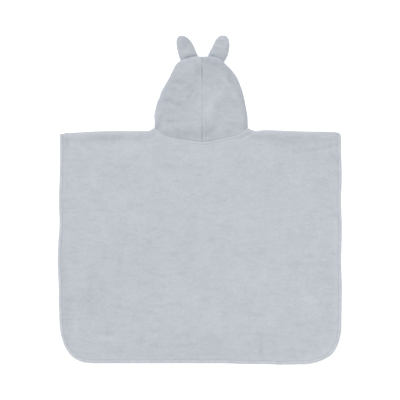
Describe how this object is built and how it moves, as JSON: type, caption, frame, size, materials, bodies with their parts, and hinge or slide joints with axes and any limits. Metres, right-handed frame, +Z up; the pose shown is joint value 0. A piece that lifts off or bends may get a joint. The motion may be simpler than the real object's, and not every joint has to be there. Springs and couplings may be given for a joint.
{
  "type": "hooded bath poncho, laid flat with its back up",
  "caption": "Toddler's terry bath poncho laid flat, back up: rounded lower corners, bound edges, seamed hood and rabbit ears.",
  "frame": {"origin": "on the surface that the poncho lies on, under the middle of its bounding box", "axes": "+X to the right of the back as seen from above, +Y from the hem to the hood, +Z up from the surface"},
  "size_m": [0.6669, 0.7728, 0.0167],
  "materials": {
    "terry_body": "looped cotton terry, matt",
    "terry_hood": "looped cotton terry, matt",
    "binding_tape": "knitted cotton tape, matt"
  },
  "bodies": {
    "root": {"body_front": "terry_body", "body_back": "terry_body", "edge_binding_front": "binding_tape", "edge_binding_back": "binding_tape", "hood_left": "terry_hood", "hood_right": "terry_hood", "ear_left_front": "terry_hood", "ear_left_back": "terry_hood", "ear_right_front": "terry_hood", "ear_right_back": "terry_hood"}
  },
  "joints": []
}
